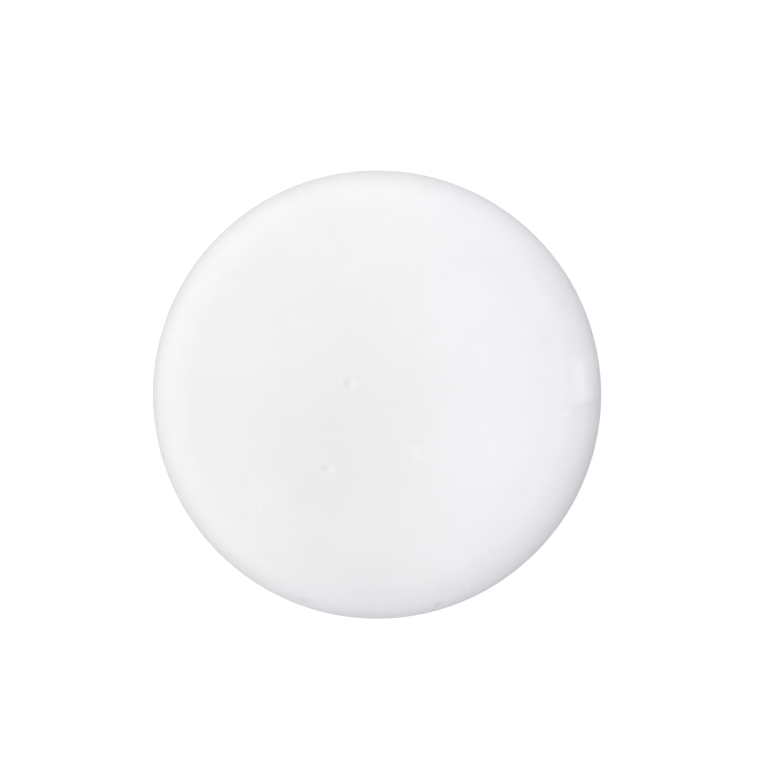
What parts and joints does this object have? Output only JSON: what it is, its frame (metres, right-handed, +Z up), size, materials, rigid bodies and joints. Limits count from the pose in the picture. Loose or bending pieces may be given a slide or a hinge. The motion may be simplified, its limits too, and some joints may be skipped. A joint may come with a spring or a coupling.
{
  "type": "shaving soap puck",
  "caption": "Round hard shaving soap puck, a plain stamped tablet with a softly crowned face, a broad rounded shoulder and a flat base.",
  "frame": {"origin": "middle of the flat base, on the surface that the puck rests on", "axes": "+Z up along the puck's axis, from the flat base to the crowned face; +X and +Y lie across the base, and the puck is round about +Z"},
  "size_m": [0.075, 0.075, 0.0235],
  "materials": {
    "milled_soap": "satin"
  },
  "bodies": {
    "root": {"soap_puck": "milled_soap"}
  },
  "joints": []
}
